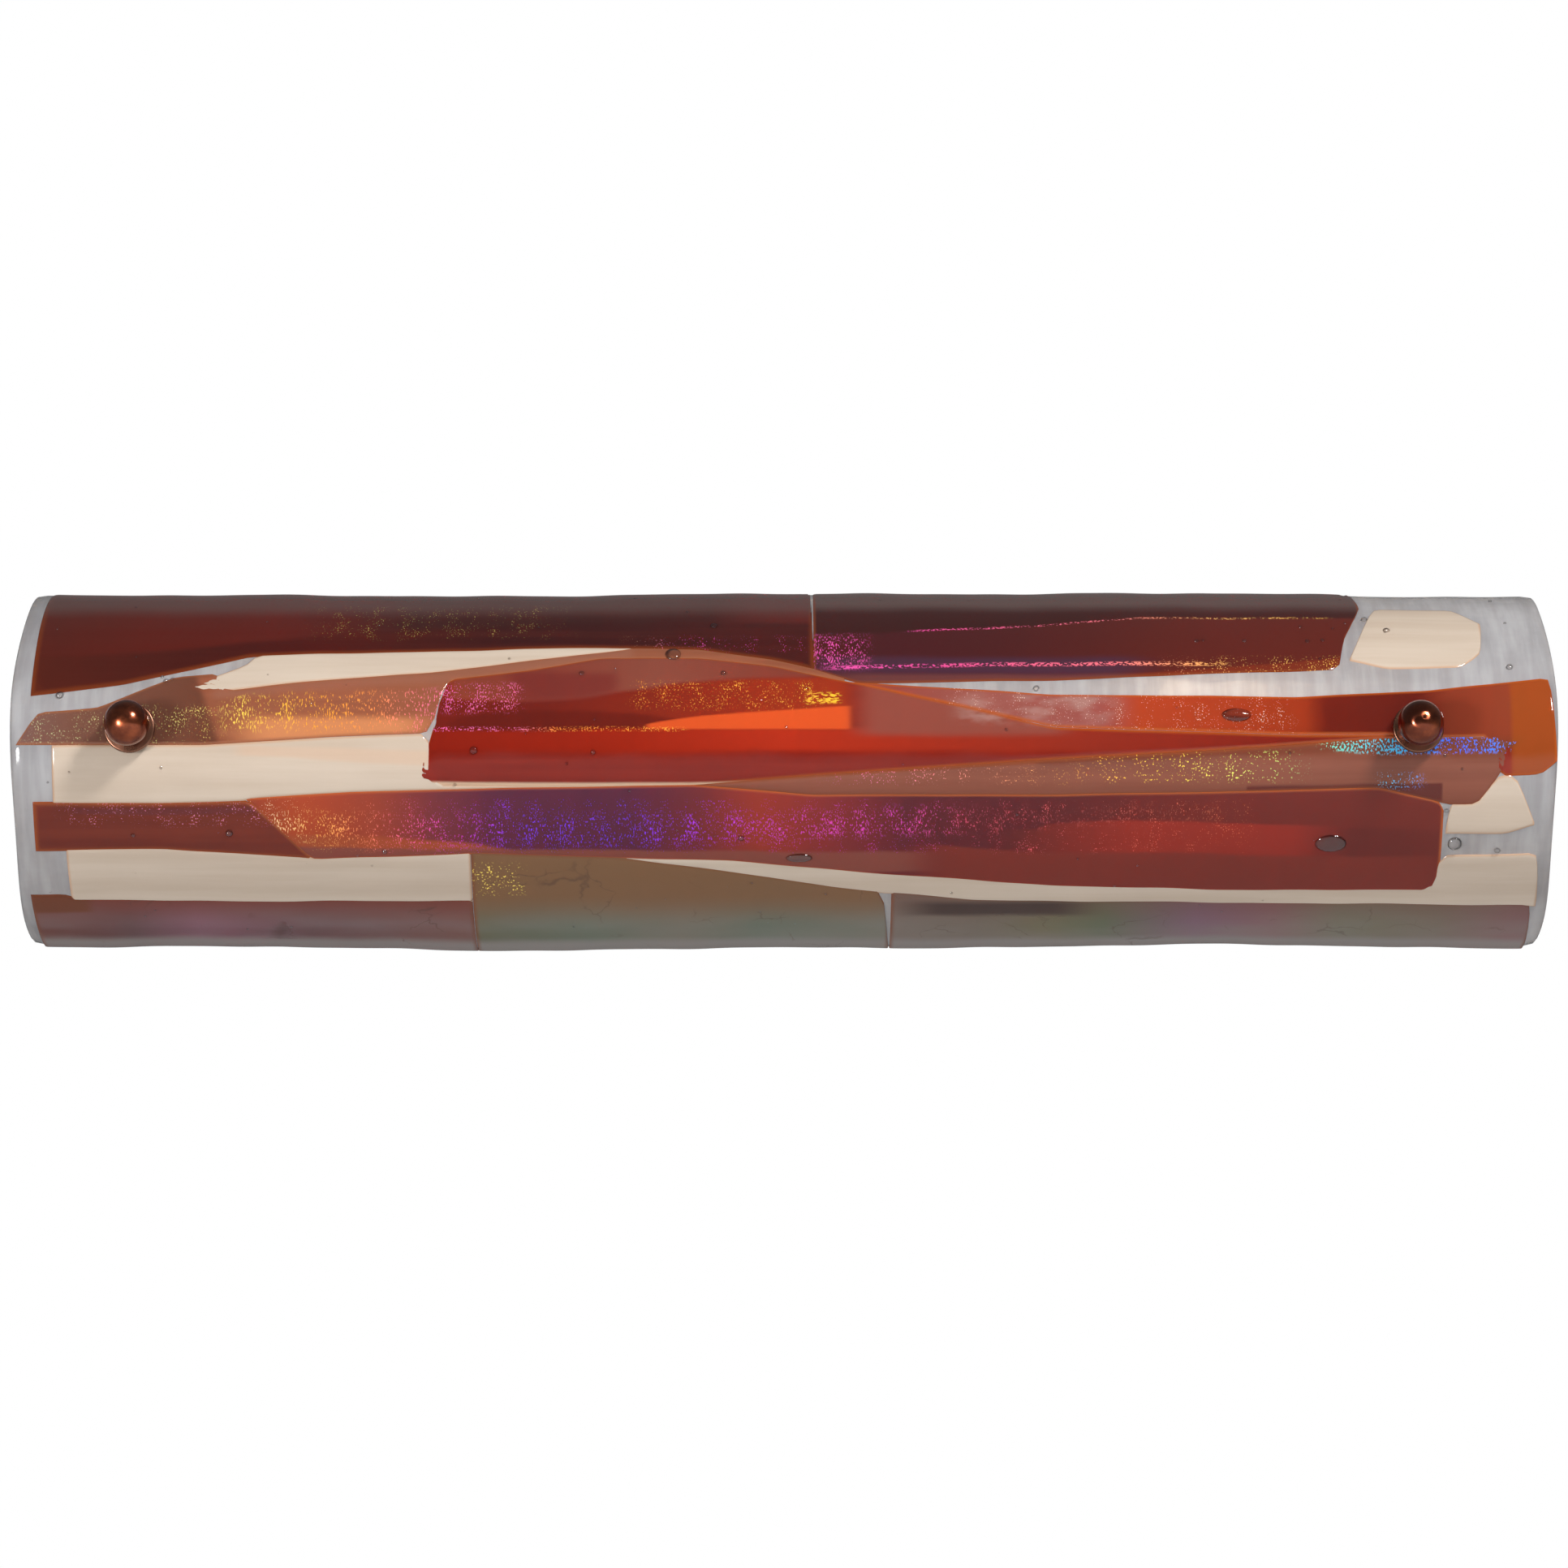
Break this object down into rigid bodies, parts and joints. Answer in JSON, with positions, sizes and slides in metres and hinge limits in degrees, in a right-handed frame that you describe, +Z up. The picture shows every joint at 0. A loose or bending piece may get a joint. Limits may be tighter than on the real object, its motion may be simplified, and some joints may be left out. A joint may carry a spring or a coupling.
{
  "type": "wall light",
  "caption": "Long wall light with a trough-shaped fused glass shade in amber, ivory and tan strips, held on posts by two copper ball knobs over frosted lamps.",
  "frame": {"origin": "middle of the wall plane, level with the two posts and the middle lamp", "axes": "+X along the light to the viewer's right, +Z up, and the front faces -Y; +Y points into the wall"},
  "size_m": [0.61, 0.1224, 0.1448],
  "materials": {
    "zinc_steel": "zinc plated, satin",
    "green_steel": "green ground screw",
    "green_insulation": "green lead insulation",
    "white_enamel": "white baked enamel, half gloss",
    "copper_finish": "oiled copper, turned",
    "dark_copper": "dark oiled copper",
    "clear_silicone": "clear soft silicone",
    "brass_shell": "pressed brass",
    "black_nylon": "black moulded nylon",
    "black_insulation": "black lead insulation",
    "white_insulation": "white lead insulation",
    "orange_nylon": "moulded wire connectors",
    "white_ceramic": "white glazed porcelain",
    "frosted_glass": "frosted globe, lit",
    "aluminium_cap": "pressed screw cap",
    "bulb_contact": "black glass insulator with a soldered contact",
    "clear_glass": "clear fused glass, frosted on the inside",
    "tan_glass": "tan fused glass with gold and blue dichroic film",
    "amber_glass": "red amber fused glass",
    "dark_amber_glass": "dark amber fused glass",
    "brown_glass": "brown fused glass with pink dichroic film",
    "ivory_glass": "ivory opal fused glass",
    "dichroic_glass": "amber fused glass under a gold to violet to pink dichroic film",
    "olive_glass": "olive fused glass with crackled iridescence",
    "iridescent_glass": "grey-green iridescent fused glass, crackled"
  },
  "bodies": {
    "root": {"wall_bracket": "zinc_steel", "bracket_studs": "zinc_steel", "stud_nuts": "zinc_steel", "cap_nuts": "zinc_steel", "ground_screw": "green_steel", "ground_lead": "green_insulation", "back_pan": "white_enamel", "left_post": "copper_finish", "right_post": "copper_finish", "post_nuts": "zinc_steel", "post_lock_washers": "zinc_steel", "inner_gaskets": "clear_silicone", "left_lampholder": "white_ceramic", "centre_lampholder": "white_ceramic", "right_lampholder": "white_ceramic", "screw_shells": "brass_shell", "contact_tabs": "brass_shell", "left_lamp_bracket": "zinc_steel", "centre_lamp_bracket": "zinc_steel", "right_lamp_bracket": "zinc_steel", "bracket_screws": "zinc_steel", "holder_screws": "zinc_steel", "wire_bushings": "black_nylon", "black_leads": "black_insulation", "white_leads": "white_insulation", "wire_connectors": "orange_nylon"},
    "shade": {"shade_sheet": "clear_glass", "tan_right": "tan_glass", "dichroic_band": "dichroic_glass", "amber_centre": "amber_glass", "amber_right": "amber_glass", "amber_top": "dark_amber_glass", "brown_top": "brown_glass", "ivory_upper_left": "ivory_glass", "tan_left": "tan_glass", "amber_lower_left": "amber_glass", "ivory_mid_left": "ivory_glass", "ivory_lower_left": "ivory_glass", "ivory_diagonal": "ivory_glass", "ivory_right": "ivory_glass", "ivory_upper_right": "ivory_glass", "amber_bottom_left": "dark_amber_glass", "olive_bottom": "olive_glass", "iris_bottom": "iridescent_glass", "glass_grommets": "clear_silicone"},
    "left_washer": {"left_washer": "dark_copper"},
    "right_washer": {"right_washer": "dark_copper"},
    "left_knob": {"left_knob": "copper_finish"},
    "right_knob": {"right_knob": "copper_finish"},
    "left_bulb_contact": {"left_bulb_contact": "bulb_contact"},
    "left_bulb": {"left_bulb_glass": "frosted_glass", "left_bulb_cap": "aluminium_cap"},
    "centre_bulb_contact": {"centre_bulb_contact": "bulb_contact"},
    "centre_bulb": {"centre_bulb_glass": "frosted_glass", "centre_bulb_cap": "aluminium_cap"},
    "right_bulb_contact": {"right_bulb_contact": "bulb_contact"},
    "right_bulb": {"right_bulb_glass": "frosted_glass", "right_bulb_cap": "aluminium_cap"}
  },
  "joints": [
    {"name": "shade_pull", "type": "slide", "parent": "root", "child": "shade", "axis": [0, -1, 0], "range_m": [0, 0.12]},
    {"name": "left_knob_travel", "type": "slide", "parent": "shade", "child": "left_washer", "axis": [0, -1, 0], "range_m": [0, 0.008]},
    {"name": "left_knob_turn", "type": "hinge", "parent": "left_washer", "child": "left_knob", "pos_m": [-0.253, -0.11, 0], "axis": [0, -1, 0], "range_deg": [0, 3600]},
    {"name": "right_knob_travel", "type": "slide", "parent": "shade", "child": "right_washer", "axis": [0, -1, 0], "range_m": [0, 0.008]},
    {"name": "right_knob_turn", "type": "hinge", "parent": "right_washer", "child": "right_knob", "pos_m": [0.253, -0.11, 0], "axis": [0, -1, 0], "range_deg": [0, 3600]},
    {"name": "left_bulb_lift", "type": "slide", "parent": "root", "child": "left_bulb_contact", "axis": [0, 0, 1], "range_m": [0, 0.011]},
    {"name": "left_bulb_turn", "type": "hinge", "parent": "left_bulb_contact", "child": "left_bulb", "pos_m": [-0.177, -0.048, 0], "axis": [0, 0, 1], "range_deg": [0, 1080]},
    {"name": "centre_bulb_lift", "type": "slide", "parent": "root", "child": "centre_bulb_contact", "axis": [0, 0, 1], "range_m": [0, 0.011]},
    {"name": "centre_bulb_turn", "type": "hinge", "parent": "centre_bulb_contact", "child": "centre_bulb", "pos_m": [0, -0.048, 0], "axis": [0, 0, 1], "range_deg": [0, 1080]},
    {"name": "right_bulb_lift", "type": "slide", "parent": "root", "child": "right_bulb_contact", "axis": [0, 0, 1], "range_m": [0, 0.011]},
    {"name": "right_bulb_turn", "type": "hinge", "parent": "right_bulb_contact", "child": "right_bulb", "pos_m": [0.177, -0.048, 0], "axis": [0, 0, 1], "range_deg": [0, 1080]}
  ],
  "couplings": [
    {"joint": "left_knob_turn", "follows": "left_knob_travel", "rad_per_m": 7854},
    {"joint": "right_knob_turn", "follows": "right_knob_travel", "rad_per_m": 7854},
    {"joint": "left_bulb_lift", "follows": "left_bulb_turn", "m_per_rad": 0.00057757},
    {"joint": "centre_bulb_lift", "follows": "centre_bulb_turn", "m_per_rad": 0.00057757},
    {"joint": "right_bulb_lift", "follows": "right_bulb_turn", "m_per_rad": 0.00057757}
  ]
}
